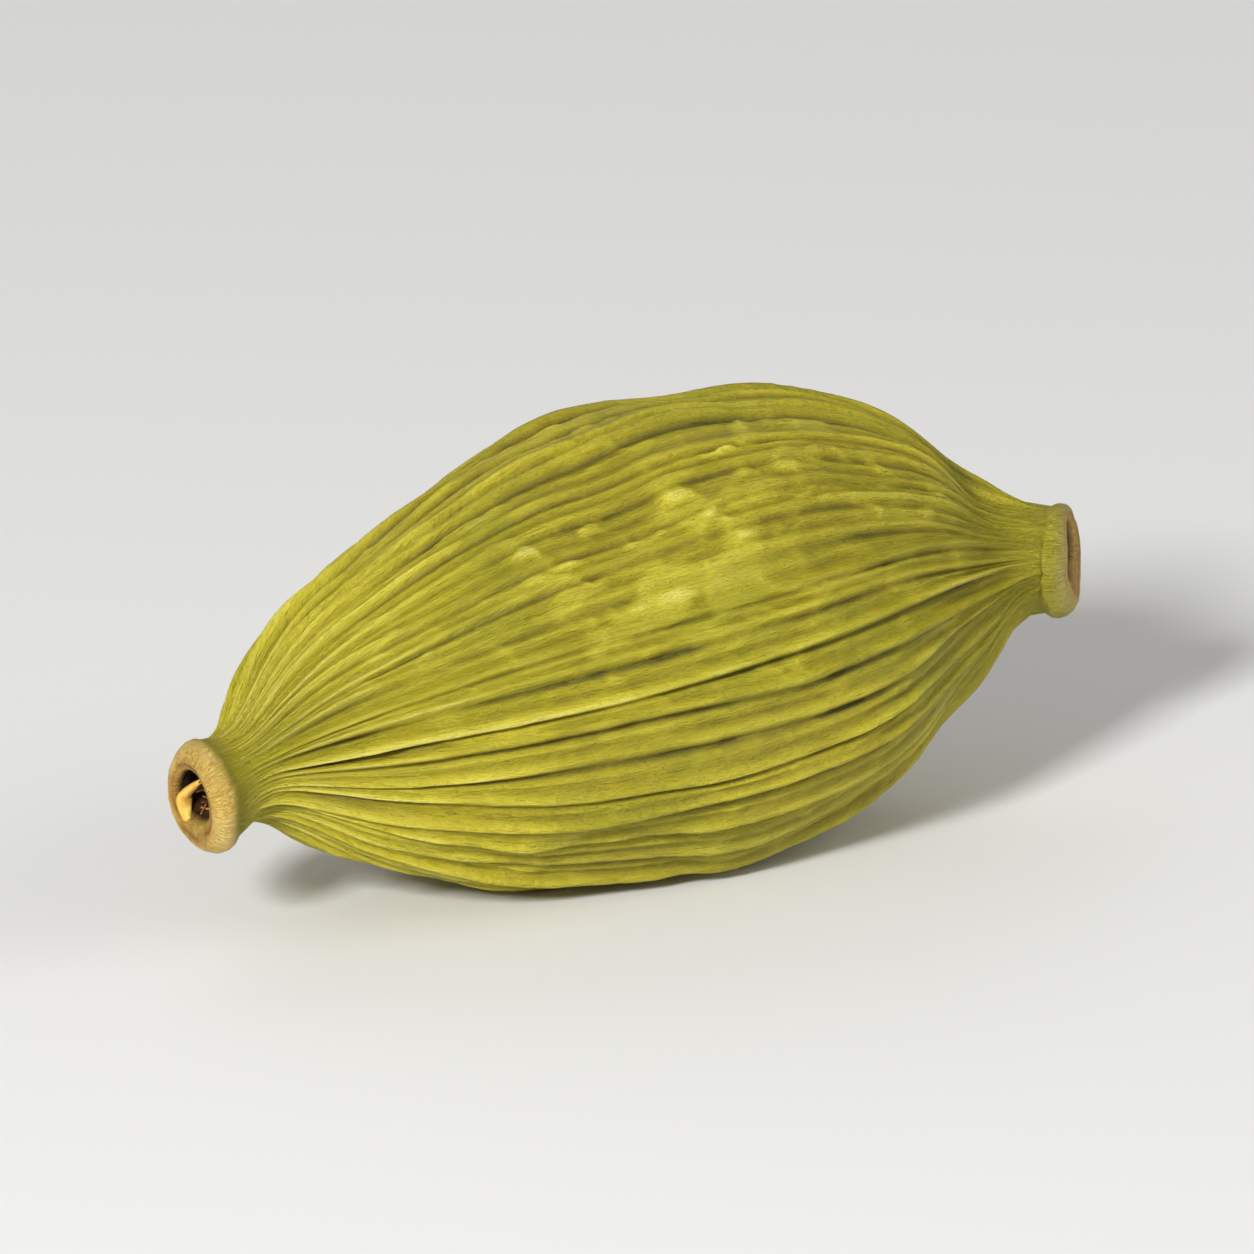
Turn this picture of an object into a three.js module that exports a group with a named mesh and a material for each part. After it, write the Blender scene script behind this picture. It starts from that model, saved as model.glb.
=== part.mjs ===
// A dried green cardamom pod, lying on its belly.
//
// The pod grew as one piece and is one closed solid. A plump, faintly three-sided husk draws
// in at both ends to a short neck, and each neck ends in a woody ring round a small hollow,
// where the stalk and the flower broke off. Ribs run from neck to neck, some of them joining
// in pairs on the way, and the seeds inside push the husk out in low swells.
//
// Millimetres, +Z up. X runs along the pod, from the stalk end at -X to the flower end at +X,
// and the origin is on the surface below the middle of the pod.

import * as THREE from "three";

// Driving dimensions
const POD_LENGTH = 14.8; // from the face of one end ring to the face of the other
const POD_RADIUS = 3.42; // of the husk between its ribs, where it is widest
const RIB_COUNT = 42;
const RIB_HEIGHT = 0.115;
const REST_TILT = THREE.MathUtils.degToRad(4); // the flower end rests this much higher
const FLAT_DEPTH = 0.21; // how far the belly is pressed flat where the pod rests

// The husk's outline: share of the length, then share of POD_RADIUS.
const OUTLINE = [
  [0.047, 0.205],
  [0.068, 0.21],
  [0.095, 0.3],
  [0.14, 0.47],
  [0.2, 0.615],
  [0.28, 0.765],
  [0.37, 0.89],
  [0.46, 0.97],
  [0.55, 1.0],
  [0.64, 0.965],
  [0.72, 0.87],
  [0.79, 0.72],
  [0.85, 0.53],
  [0.9, 0.355],
  [0.932, 0.265],
  [0.952, 0.237],
];

// The line that the sections are centred on: share of the length, then how far it lies
// towards +Y and +Z. Both necks nod down and towards -Y.
const SPINE = [
  [0, -0.6, -0.36],
  [0.08, -0.3, -0.16],
  [0.22, -0.05, -0.08],
  [0.45, 0.05, 0],
  [0.65, 0.05, 0.08],
  [0.8, -0.02, 0.1],
  [0.91, -0.2, -0.04],
  [1, -0.45, -0.2],
];

// Each end's woody ring and its hollow. A lean turns the ring's face: a positive leanY
// towards +Y, a negative one towards -Y, and a positive leanZ towards +Z.
const STALK_END = { ringRadius: 0.86, lipRadius: 0.23, hollowDepth: 0.75, leanY: 0.2, leanZ: 0.2 };
const FLOWER_END = { ringRadius: 0.86, lipRadius: 0.22, hollowDepth: 0.6, leanY: -0.4, leanZ: 0.12 };

// Low swells over the seeds, and dents between them: share of the length, angle round the
// pod in degrees, reach along in shares of the length, reach round in degrees, height.
const SWELLS = [
  [0.3, 205, 0.08, 26, 0.12],
  [0.47, 256, 0.035, 24, -0.2],
  [0.52, 232, 0.08, 24, 0.13],
  [0.7, 196, 0.09, 22, 0.12],
  [0.62, 155, 0.07, 20, 0.1],
  [0.36, 150, 0.07, 22, 0.13],
  [0.47, 118, 0.05, 24, -0.14],
  [0.77, 80, 0.07, 26, -0.06],
  [0.27, 76, 0.08, 26, -0.1],
  [0.76, 130, 0.05, 20, -0.1],
  [0.5, 30, 0.1, 26, 0.13],
  [0.33, 350, 0.06, 24, -0.15],
  [0.68, 345, 0.08, 24, 0.12],
  [0.24, 20, 0.06, 22, 0.1],
  [0.6, 300, 0.07, 24, -0.12],
  [0.885, 105, 0.032, 45, -0.2],
  [0.88, 250, 0.045, 45, 0.2],
  [0.64, 74, 0.07, 26, -0.2],
  [0.34, 254, 0.08, 28, 0.12],
  [0.07, 262, 0.025, 50, 0.12],
];

// The three valves of the pod meet at its blunt corners, in a seam beside one of the ribs.
const SEAM_RIBS = [11, 25, 39];
const SEAM_DEPTH = 0.1;
const CORNER_SHARE = 0.05; // how far a corner stands out, as a share of the radius

// Where the ribs and seams run, as shares of the gap between two ribs.
const RIB_JITTER = 0.2;
const RIB_WANDER = 0.1;
const RIB_JOINING = 0.25;
const RIB_REACH = 0.25;
const SEAM_PLACE = 0.3;
const SEAM_REACH = 0.24;

// How finely the skin is divided
const COLUMN_PLACES = [0, 0.3, 0.7]; // shares of the gap from a rib to the next
const HUSK_ROWS = 37;
const ROW_CROWDING = 0.085; // draws the rows together towards the necks
const LIP_STEP = THREE.MathUtils.degToRad(45);
const LIP_SWEEP = THREE.MathUtils.degToRad(225);

const HUSK_COLOUR = 0x9f9536;

const FULL_TURN = 2 * Math.PI;
const { radToDeg, smoothstep } = THREE.MathUtils;

// A repeatable number from 0 to 1 for a rib and one of its properties.
function drawn(index, property) {
  const wave = Math.sin(index * 127.1 + property * 311.7) * 43758.5453;
  return wave - Math.floor(wave);
}

// A natural cubic spline through [at, value] pairs, as a function of at.
function splineThrough(pairs) {
  const at = pairs.map((pair) => pair[0]);
  const value = pairs.map((pair) => pair[1]);
  const last = at.length - 1;
  const bend = new Array(last + 1).fill(0); // second derivatives, by elimination
  const held = new Array(last + 1).fill(0);
  for (let i = 1; i < last; i++) {
    const before = at[i] - at[i - 1];
    const after = at[i + 1] - at[i];
    const slopeChange = (value[i + 1] - value[i]) / after - (value[i] - value[i - 1]) / before;
    const pivot = 2 * (before + after) - before * held[i - 1];
    held[i] = after / pivot;
    bend[i] = (6 * slopeChange - before * bend[i - 1]) / pivot;
  }
  for (let i = last - 1; i > 0; i--) bend[i] -= held[i] * bend[i + 1];
  return (where) => {
    let i = 0;
    while (i < last - 1 && where > at[i + 1]) i++;
    const span = at[i + 1] - at[i];
    const right = (where - at[i]) / span;
    const left = 1 - right;
    const cubic = (left ** 3 - left) * bend[i] + (right ** 3 - right) * bend[i + 1];
    return left * value[i] + right * value[i + 1] + (cubic * span * span) / 6;
  };
}

const huskRadiusShare = splineThrough(OUTLINE);
const spineY = splineThrough(SPINE.map(([share, y]) => [share, y]));
const spineZ = splineThrough(SPINE.map(([share, , z]) => [share, z]));

// The ribs. Each keeps its own height, wanders a little, and leans towards its partner at
// either end: an even rib's partner is the next rib at the stalk end, and the one before at
// the flower end. A rib fades out in the necks, the minor ones sooner.
const ribs = Array.from({ length: RIB_COUNT }, (_, i) => {
  const major = i % 3 === 0;
  const even = i % 2 === 0;
  return {
    index: i,
    jitter: RIB_JITTER * (2 * drawn(i, 1) - 1),
    height: RIB_HEIGHT * ((major ? 1.15 : 0.4) + 0.55 * drawn(i, 2)),
    waves: 0.7 + 1.1 * drawn(i, 3),
    phase: FULL_TURN * drawn(i, 4),
    stalkLean: even ? RIB_JOINING : -RIB_JOINING,
    flowerLean: even ? -RIB_JOINING : RIB_JOINING,
    start: major ? 0.03 : 0.06 + 0.09 * drawn(i, 5),
    finish: major ? 0.975 : 0.95 - 0.07 * drawn(i, 6),
  };
});

// Where a rib runs at this share of the length, in gaps between ribs counted round the pod.
function ribPlace(rib, share) {
  const atStalk = 1 - smoothstep(share, 0.06, 0.34);
  const atFlower = smoothstep(share, 0.7, 0.94);
  const free = 1 - Math.max(atStalk, atFlower);
  const wander = RIB_WANDER * Math.sin(FULL_TURN * rib.waves * share + rib.phase);
  const lean = rib.stalkLean * atStalk + rib.flowerLean * atFlower;
  return rib.index + (rib.jitter + wander) * free + lean;
}

// The same for a line that keeps to a part of the way from one rib to the next.
function placeBetween(i, part, share) {
  const from = ribPlace(ribs[i], share);
  const turns = i + 1 < RIB_COUNT ? 0 : RIB_COUNT;
  const to = ribPlace(ribs[(i + 1) % RIB_COUNT], share) + turns;
  return from + part * (to - from);
}

// How high a rib stands at this share of the length.
function ribHeight(rib, share) {
  const rises = smoothstep(share, rib.start, rib.start + 0.09);
  const falls = 1 - smoothstep(share, rib.finish - 0.07, rib.finish);
  return rib.height * rises * falls;
}

// The shorter way round from b to a, where a whole turn is so many units.
function wayRound(a, b, turn) {
  return a - b - turn * Math.round((a - b) / turn);
}

// A rounded hump, 1 high at its middle.
function hump(off) {
  return Math.exp(-off * off);
}

// How far the husk's skin is from its spine, at a share of the length and an angle.
function huskRadius(share, angle) {
  const degrees = radToDeg(angle);
  const place = (angle / FULL_TURN) * RIB_COUNT;
  const body = smoothstep(share, 0.05, 0.2) * (1 - smoothstep(share, 0.82, 0.95));
  const pastCorner = (place - SEAM_RIBS[0] - SEAM_PLACE) / RIB_COUNT;
  const corner = CORNER_SHARE * body * Math.cos(SEAM_RIBS.length * FULL_TURN * pastCorner);
  let radius = POD_RADIUS * huskRadiusShare(share) * (1 + corner);

  for (const [along, round, reachAlong, reachRound, height] of SWELLS) {
    const lift = hump((share - along) / reachAlong);
    radius += height * lift * hump(wayRound(degrees, round, 360) / reachRound);
  }
  for (const rib of ribs) {
    const off = wayRound(place, ribPlace(rib, share), RIB_COUNT);
    radius += ribHeight(rib, share) * hump(off / RIB_REACH);
  }
  for (const i of SEAM_RIBS) {
    const off = wayRound(place, placeBetween(i, SEAM_PLACE, share), RIB_COUNT);
    radius -= SEAM_DEPTH * body * hump(off / SEAM_REACH);
  }
  return radius;
}

// A point at a share of the length, an angle and a distance from the spine. The section is
// square to the spine, with angle 0 towards +Y and a quarter turn towards +Z.
function pointAt(share, angle, radius, inset = 0) {
  const step = 1e-3;
  const centre = new THREE.Vector3((share - 0.5) * POD_LENGTH, spineY(share), spineZ(share));
  const along = new THREE.Vector3(
    2 * step * POD_LENGTH,
    spineY(share + step) - spineY(share - step),
    spineZ(share + step) - spineZ(share - step),
  ).normalize();
  const up = new THREE.Vector3(0, 0, 1).addScaledVector(along, -along.z).normalize();
  const side = new THREE.Vector3().crossVectors(up, along);
  return centre
    .addScaledVector(side, radius * Math.cos(angle))
    .addScaledVector(up, radius * Math.sin(angle))
    .addScaledVector(along, inset);
}

// The outline of an end from the middle of its hollow, over the lip, to the neck: how far in
// from the ring's face, then the radius. The lip is an arc.
function endOutline({ ringRadius, lipRadius, hollowDepth }) {
  const hollowRadius = ringRadius - 2 * lipRadius;
  const lipCentre = ringRadius - lipRadius;
  const outline = [
    [hollowDepth, 0],
    [0.93 * hollowDepth, 0.7 * hollowRadius],
    [0.6 * hollowDepth, 0.95 * hollowRadius],
  ];
  for (let turn = 0; turn <= LIP_SWEEP + 1e-6; turn += LIP_STEP) {
    outline.push([lipRadius * (1 - Math.sin(turn)), lipCentre - lipRadius * Math.cos(turn)]);
  }
  return outline;
}

// Rows of points for one end, from the hollow's middle to the neck. The ring is not quite
// round, and leans over with its hollow.
function endRows(end, faceShare, inwards, seed) {
  return endOutline(end).map(([inset, radius]) => {
    if (radius === 0) return [pointAt(faceShare, 0, 0, inwards * inset)];
    return Array.from({ length: RIB_COUNT }, (_, i) => {
      const angle = (FULL_TURN * i) / RIB_COUNT;
      const uneven =
        1 + 0.05 * Math.cos(2 * angle + seed) + 0.035 * Math.cos(3 * angle + 2.3 * seed);
      const leaning = radius * (end.leanY * Math.cos(angle) + end.leanZ * Math.sin(angle));
      return pointAt(faceShare, angle, radius * uneven, inwards * (inset + leaning));
    });
  });
}

// Rows of points for the husk, from neck to neck. The columns follow the ribs.
function huskRows() {
  const [first] = OUTLINE[0];
  const [last] = OUTLINE[OUTLINE.length - 1];
  return Array.from({ length: HUSK_ROWS }, (_, row) => {
    const even = row / (HUSK_ROWS - 1);
    const share = first + (last - first) * (even - ROW_CROWDING * Math.sin(FULL_TURN * even));
    return ribs.flatMap((rib) =>
      COLUMN_PLACES.map((part) => {
        const angle = (placeBetween(rib.index, part, share) / RIB_COUNT) * FULL_TURN;
        return pointAt(share, angle, huskRadius(share, angle));
      }),
    );
  });
}

// Joins neighbouring rows, of the same or different numbers of points, with triangles.
function skinOver(rows) {
  const points = rows.flat();
  const indices = [];
  let start = 0;
  for (let r = 0; r + 1 < rows.length; r++) {
    const here = rows[r].length;
    const there = rows[r + 1].length;
    const pick = (row, i) => (row === 0 ? start + (i % here) : start + here + (i % there));
    let i = 0;
    let j = 0;
    while ((here > 1 && i < here) || (there > 1 && j < there)) {
      const stepHere = there === 1 || (here > 1 && i < here && (i + 1) / here <= (j + 1) / there);
      if (stepHere) indices.push(pick(1, j), pick(0, i), pick(0, ++i));
      else indices.push(pick(1, j), pick(0, i), pick(1, ++j));
    }
    start += here;
  }
  return { points, indices };
}

// Tips the pod to its resting tilt, presses its belly flat on the surface, and brings the
// middle of its outline over the origin.
function layDown(geometry) {
  geometry.rotateY(-REST_TILT);
  geometry.computeBoundingBox();
  const { min, max } = geometry.boundingBox;
  geometry.translate(-(min.x + max.x) / 2, -(min.y + max.y) / 2, -min.z - FLAT_DEPTH);
  const position = geometry.getAttribute("position");
  for (let i = 0; i < position.count; i++) {
    position.setZ(i, Math.max(0, position.getZ(i)));
  }
}

function makePod() {
  const stalkEnd = endRows(STALK_END, 0, 1, 0.6);
  const flowerEnd = endRows(FLOWER_END, 1, -1, 2.1).reverse();
  const { points, indices } = skinOver([...stalkEnd, ...huskRows(), ...flowerEnd]);
  const geometry = new THREE.BufferGeometry().setFromPoints(points);
  geometry.setIndex(indices);
  layDown(geometry);
  geometry.computeVertexNormals();
  const material = new THREE.MeshStandardMaterial({
    color: HUSK_COLOUR,
    roughness: 0.55,
    metalness: 0,
  });
  const pod = new THREE.Mesh(geometry, material);
  pod.name = "pod";
  return pod;
}

const cardamom = new THREE.Group();
cardamom.add(makePod());

export default cardamom;
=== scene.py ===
import math

import bpy
import numpy as np
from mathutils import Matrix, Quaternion, Vector


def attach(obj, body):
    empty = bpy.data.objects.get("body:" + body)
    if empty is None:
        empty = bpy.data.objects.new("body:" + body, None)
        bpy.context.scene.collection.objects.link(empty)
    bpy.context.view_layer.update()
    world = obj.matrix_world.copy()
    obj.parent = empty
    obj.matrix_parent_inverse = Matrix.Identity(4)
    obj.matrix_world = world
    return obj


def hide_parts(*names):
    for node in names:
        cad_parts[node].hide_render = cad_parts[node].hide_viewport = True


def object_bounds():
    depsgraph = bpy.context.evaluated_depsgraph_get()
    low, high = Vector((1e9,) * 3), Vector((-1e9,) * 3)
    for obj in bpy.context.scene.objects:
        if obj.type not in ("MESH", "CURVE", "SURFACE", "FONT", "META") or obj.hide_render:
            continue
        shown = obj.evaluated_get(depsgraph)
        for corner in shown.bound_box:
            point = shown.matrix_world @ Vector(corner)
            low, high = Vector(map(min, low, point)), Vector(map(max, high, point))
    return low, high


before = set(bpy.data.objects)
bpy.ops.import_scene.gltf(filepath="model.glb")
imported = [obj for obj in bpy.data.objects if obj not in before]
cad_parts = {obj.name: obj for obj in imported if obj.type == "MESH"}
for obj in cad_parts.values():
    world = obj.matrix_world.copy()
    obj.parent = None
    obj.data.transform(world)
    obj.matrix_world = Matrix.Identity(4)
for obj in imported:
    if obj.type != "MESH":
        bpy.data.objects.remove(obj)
solid_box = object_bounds()

MM = 0.001
FULL_TURN = 2 * math.pi

# The pod's form, in millimetres. X runs from the stalk end to the flower end.
POD_LENGTH = 14.8
POD_RADIUS = 3.42
RIB_COUNT = 42
TALL_RIB_EVERY = 3
RIB_HEIGHT = 0.115
REST_TILT = math.radians(4)
FLAT_DEPTH = 0.21

# The husk's outline: share of the length, then share of POD_RADIUS.
OUTLINE = [
    (0.047, 0.205),
    (0.068, 0.21),
    (0.095, 0.3),
    (0.14, 0.47),
    (0.2, 0.615),
    (0.28, 0.765),
    (0.37, 0.89),
    (0.46, 0.97),
    (0.55, 1.0),
    (0.64, 0.965),
    (0.72, 0.87),
    (0.79, 0.72),
    (0.85, 0.53),
    (0.9, 0.355),
    (0.932, 0.265),
    (0.952, 0.237),
]

# The line that the sections are centred on: share of the length, then +Y and +Z.
SPINE = [
    (0, -0.6, -0.36),
    (0.08, -0.3, -0.16),
    (0.22, -0.05, -0.08),
    (0.45, 0.05, 0),
    (0.65, 0.05, 0.08),
    (0.8, -0.02, 0.1),
    (0.91, -0.2, -0.04),
    (1, -0.45, -0.2),
]

# How pale plain skin is, from 0, as dark as a groove, to 1, as pale as a crest.
PLAIN_TONE = 0.42

# Each end's woody ring and hollow. A lean turns the ring's face: a positive lean_y towards +Y, a
# negative one towards -Y, and a positive lean_z towards +Z. The lip is thicker towards
# thick_at by uneven_by, and its unevenness starts from seed. Over the lip, in radians from the
# hollow to the neck, the wood begins to give way to green skin at woody_until, and has given way
# by skin_from. That skin is as pale as skin_tone; at the flower end that paleness is partly
# the ring's own and partly painted light on the shaded ring.
STALK_END = {
    "share": 0,
    "inwards": 1,
    "ring_radius": 0.86,
    "lip_radius": 0.23,
    "hollow_depth": 0.75,
    "lean_y": 0.2,
    "lean_z": 0.2,
    "seed": 0.6,
    "thick_at": math.radians(200),
    "uneven_by": 0.25,
    "woody_until": 2.8,
    "skin_from": 3.9,
    "skin_tone": PLAIN_TONE,
}
FLOWER_END = {
    "share": 1,
    "inwards": -1,
    "ring_radius": 0.86,
    "lip_radius": 0.22,
    "hollow_depth": 0.6,
    "lean_y": -0.4,
    "lean_z": 0.12,
    "seed": 2.1,
    "thick_at": math.radians(255),
    "uneven_by": 0.3,
    "woody_until": 0.9,
    "skin_from": 3.3,
    # Paler than plain skin: partly the ring's own colour, partly painted light on the ring, which
    # lies in shade.
    "skin_tone": 0.6,
}

# Low swells over the seeds, and dents between them: share of the length, angle round the pod
# in degrees, reach along, reach round in degrees, height.
SWELLS = [
    (0.3, 205, 0.08, 26, 0.12),
    (0.47, 256, 0.035, 24, -0.2),
    (0.52, 232, 0.08, 24, 0.13),
    (0.7, 196, 0.09, 22, 0.12),
    (0.62, 155, 0.07, 20, 0.1),
    (0.36, 150, 0.07, 22, 0.13),
    (0.47, 118, 0.05, 24, -0.14),
    (0.77, 80, 0.07, 26, -0.06),
    (0.27, 76, 0.08, 26, -0.1),
    (0.76, 130, 0.05, 20, -0.1),
    (0.5, 30, 0.1, 26, 0.13),
    (0.33, 350, 0.06, 24, -0.15),
    (0.68, 345, 0.08, 24, 0.12),
    (0.24, 20, 0.06, 22, 0.1),
    (0.6, 300, 0.07, 24, -0.12),
    (0.885, 105, 0.032, 45, -0.2),
    (0.88, 250, 0.045, 45, 0.2),
    (0.64, 74, 0.07, 26, -0.2),
    (0.34, 254, 0.08, 28, 0.12),
    (0.07, 262, 0.025, 50, 0.12),
]

# The three valves of the pod meet at its blunt corners, in a seam beside one of the ribs.
SEAM_RIBS = (11, 25, 39)
SEAM_DEPTH = 0.1
CORNER_SHARE = 0.05

# Where the ribs and seams run, as shares of the gap between two ribs.
RIB_JITTER = 0.2
RIB_WANDER = 0.1
RIB_JOINING = 0.25
RIB_REACH = 0.25
SEAM_PLACE = 0.3
SEAM_REACH = 0.24

# How far along the pod a rib takes to rise from one neck and to sink into the other, as shares
# of the length.
RIB_RISE = 0.09
RIB_FALL = 0.07

# Where the seeds press the husk smooth and blister it, and the ribs sink back: share of the
# length, angle round the pod in degrees, reach along, reach round in degrees.
BLISTERED = [
    (0.5, 130, 0.25, 34),
    (0.42, 20, 0.2, 34),
    (0.6, 300, 0.22, 30),
]

# The finer relief, in millimetres.
CREST_HEIGHT = 0.065
GROOVE_DEPTH = 0.072
FIBRE_HEIGHT = 0.03
VALLEY_HEIGHT = 0.02
BLISTER_HEIGHT = 0.1
PIMPLE_HEIGHT = 0.045
PUCKER_HEIGHT = 0.045
FOLD_DEPTH = 0.11
CRINKLE_HEIGHT = 0.006

# How much paler or darker than plain skin each of them is.
# Crests are paler partly in their own colour, partly by a painted highlight.
CREST_TONE_AND_HIGHLIGHT = 0.4
# Grooves are darker partly in their own colour, partly by painted shade beneath the ribs.
GROOVE_TONE_AND_SHADE = -0.44
FIBRE_TONE = 0.12
VALLEY_TONE = 0.08
BLISTER_TONE = 0.45
PIMPLE_TONE = 0.3
FOLD_TONE = -0.4

# Where they lie and how far they reach across, as shares of the gap between two ribs.
CREST_REACH = 0.12
GROOVE_PLACE = 0.28
GROOVE_REACH = 0.09
FIBRE_REACH = 0.07
VALLEY_REACH = 0.2
FOLD_REACH = 0.25

# The length of the pod that noise covers, and how far before the pod it starts, in millimetres.
NOISE_LENGTH = 20
NOISE_LEAD = 2

# The noise that shapes them: a cell's length in millimetres, the cells round the pod, a seed.
RIB_NOISE = (1.5, RIB_COUNT, 11)
CREST_NOISE = (0.7, RIB_COUNT, 12)
GROOVE_NOISE = (1.3, 2 * RIB_COUNT, 13)
FIBRE_NOISE = (1.9, RIB_COUNT, 21)
BLISTER_NOISE = (0.5, int(1.8 * RIB_COUNT), 31)
PIMPLE_NOISE = (0.27, int(3.3 * RIB_COUNT), 32)
PUCKER_NOISE = (1.2, RIB_COUNT, 33)
CRINKLE_NOISE = (0.13, 3 * RIB_COUNT, 34)
BEND_ALONG_NOISE = (0.5, int(1.9 * RIB_COUNT), 35)
BEND_ROUND_NOISE = (0.37, int(1.3 * RIB_COUNT), 36)

# One rib stands out from neck to neck, with the deepest fold in the gap after it.
MAIN_RIB = 20
MAIN_RIB_HEIGHT = 0.06
MAIN_RIB_REACH = 0.16
MAIN_RIB_TONE = 0.25
MAIN_FOLD = 0.8

# The wall of each hollow, from its floor: share of its depth, then share of its radius.
WALL = ((0.99, 0.3), (0.96, 0.55), (0.9, 0.78), (0.72, 0.93), (0.5, 0.98))
# The wall is darker than plain skin, partly painted shade in the hollow.
WALL_TONE = 0.2

# How rough the wall and the lip are: shares of the hollow's depth and of the lip's radius, but
# the frays' length is in millimetres.
WALL_ROUGHNESS = 0.07
LIP_UNEVENNESS = 0.1
LIP_LUMPS = 0.1
FRAY_LENGTH = 0.004

# The crease that parts each lip into two rolls: its place over the lip, how far it wanders and
# how far it reaches, in radians, and how deep it is, how far it draws the lip in and how much
# painted shade darkens it. Depth and drawing in are shares of the lip's radius.
CREASE_TURN = 1.25
CREASE_WANDER = 0.35
CREASE_REACH = 0.22
CREASE_DEPTH = 0.14
CREASE_DRAW = 0.1
CREASE_PAINTED_SHADE = -0.35

# How much of the length the skin takes to go over to each ring's shape.
RING_BLEND = 0.05

# How finely the skin is divided.
COLUMNS_PER_RIB = 12
HUSK_ROWS = 162
ROW_CROWDING = 0.05
LIP_STEPS = 11
LIP_SWEEP = math.radians(225)

# The lights, in metres and watts: name, place, size, power. The key stands over the front left,
# the fill to the right and the back light behind.
LIGHTS = (
    ("key", (-0.16, -0.13, 0.12), 0.045, 0.58),
    ("fill", (0.17, -0.12, 0.1), 0.16, 0.15),
    ("back", (0.03, 0.16, 0.13), 0.12, 0.05),
)
FLOOR_COLOUR = (0.86, 0.86, 0.85, 1)
SURROUNDING_COLOUR = (1, 0.98, 0.95, 1)
SURROUNDING_STRENGTH = 0.26

# The camera's angles, in degrees, its distance and its picture's width at the pod, in metres,
# and its sensor's width, in millimetres.
CAMERA_AZIMUTH = -24
CAMERA_ELEVATION = 17
CAMERA_ROLL = 3.4
CAMERA_DISTANCE = 0.3
PICTURE_WIDTH = 0.0188
SENSOR_WIDTH = 36


def smoothstep(x, low, high):
    """0 below low, 1 above high, and 3t^2 - 2t^3 between, where t is the share of the way."""
    t = np.clip((x - low) / (high - low), 0, 1)
    return t * t * (3 - 2 * t)


def hump(off):
    """A rounded hump, 1 high at its middle: e to the power of minus the offset squared."""
    return np.exp(-off * off)


def way_round(a, b, turn):
    """The shorter way round from b to a: their difference less its nearest whole turns."""
    return a - b - turn * np.round((a - b) / turn)


def drawn(index, which):
    """A repeatable number from 0 to 1 for a rib and one of its properties: the fraction of a
    large multiple of the sine of the two numbers' weighted sum."""
    wave = np.sin(index * 127.1 + which * 311.7) * 43758.5453
    return wave - np.floor(wave)


def spline_through(pairs):
    """A natural cubic spline through (at, value) pairs, as a function of an array.

    The second derivatives are zero at both ends. At each inner point they solve
    before * m0 + 2 * (before + after) * m1 + after * m2 = 6 * (change of slope). Each span is
    the straight line between its ends, plus the cubic that has those second derivatives.
    """
    at, value = np.array(pairs, dtype=float).T
    span = np.diff(at)
    inner = np.arange(1, len(at) - 1)
    matrix = np.diag(np.concatenate([[1], 2 * (span[:-1] + span[1:]), [1]]))
    matrix[inner, inner - 1] = span[:-1]
    matrix[inner, inner + 1] = span[1:]
    slope_change = np.zeros(len(at))
    slope_change[1:-1] = 6 * np.diff(np.diff(value) / span)
    bend = np.linalg.solve(matrix, slope_change)

    def curve(where):
        i = np.clip(np.searchsorted(at, where) - 1, 0, len(span) - 1)
        right = (where - at[i]) / span[i]
        left = 1 - right
        cubic = (left**3 - left) * bend[i] + (right**3 - right) * bend[i + 1]
        return left * value[i] + right * value[i + 1] + cubic * span[i] ** 2 / 6

    return curve


husk_radius_share = spline_through(OUTLINE)
spine_y = spline_through([(share, y) for share, y, z in SPINE])
spine_z = spline_through([(share, z) for share, y, z in SPINE])


def soft_noise(along, turns, cell, cells_round, seed):
    """Smooth noise from -1 to 1 over the skin, the same after a whole turn.

    Every corner of a grid of cells has a random value, and a point blends the four corners
    round it, by 3t^2 - 2t^3 each way. along and cell are in millimetres, turns in turns.
    """
    rows = int(NOISE_LENGTH / cell) + 4
    corners = np.random.default_rng(seed).uniform(-1, 1, (rows, cells_round))
    u = (along + NOISE_LEAD) / cell
    v = turns * cells_round
    row = np.floor(u).astype(int)
    column = np.floor(v).astype(int)
    s = u - row
    t = v - column
    s = s * s * (3 - 2 * s)
    t = t * t * (3 - 2 * t)
    row_after = row + 1
    left = column % cells_round
    right = (column + 1) % cells_round
    near = corners[row, left] * (1 - t) + corners[row, right] * t
    far = corners[row_after, left] * (1 - t) + corners[row_after, right] * t
    return near * (1 - s) + far * s


# The ribs. Each keeps its own height, wanders a little, and leans towards its partner at
# either end. Every third one is taller and runs on further into the necks.
rib_index = np.arange(RIB_COUNT)
rib_is_tall = rib_index % TALL_RIB_EVERY == 0
rib_lean = np.where(rib_index % 2 == 0, RIB_JOINING, -RIB_JOINING)
rib_jitter = RIB_JITTER * (2 * drawn(rib_index, 1) - 1)
rib_height = RIB_HEIGHT * (np.where(rib_is_tall, 1.15, 0.4) + 0.55 * drawn(rib_index, 2))
rib_waves = 0.7 + 1.1 * drawn(rib_index, 3)
rib_phase = FULL_TURN * drawn(rib_index, 4)
rib_start = np.where(rib_is_tall, 0.03, 0.06 + 0.09 * drawn(rib_index, 5))
rib_finish = np.where(rib_is_tall, 0.975, 0.95 - 0.07 * drawn(rib_index, 6))


def rib_places(share):
    """Where every rib runs, in gaps between ribs, for a column of shares: its number, plus its
    jitter and a sine wander in the free middle, plus its lean in each neck."""
    at_stalk = 1 - smoothstep(share, 0.06, 0.34)
    at_flower = smoothstep(share, 0.7, 0.94)
    free = 1 - np.maximum(at_stalk, at_flower)
    wander = RIB_WANDER * np.sin(FULL_TURN * rib_waves * share + rib_phase)
    return rib_index + (rib_jitter + wander) * free + rib_lean * (at_stalk - at_flower)


def columns_between(places, part):
    """The lines a part of the way from each rib to the next, the last one to the first."""
    after = np.roll(places, -1, axis=1)
    after[:, -1] += RIB_COUNT
    return places + part * (after - places)


def body_of_husk(share):
    """1 over the body of the husk, falling to 0 in both necks."""
    return smoothstep(share, 0.05, 0.2) * (1 - smoothstep(share, 0.82, 0.95))


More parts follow.
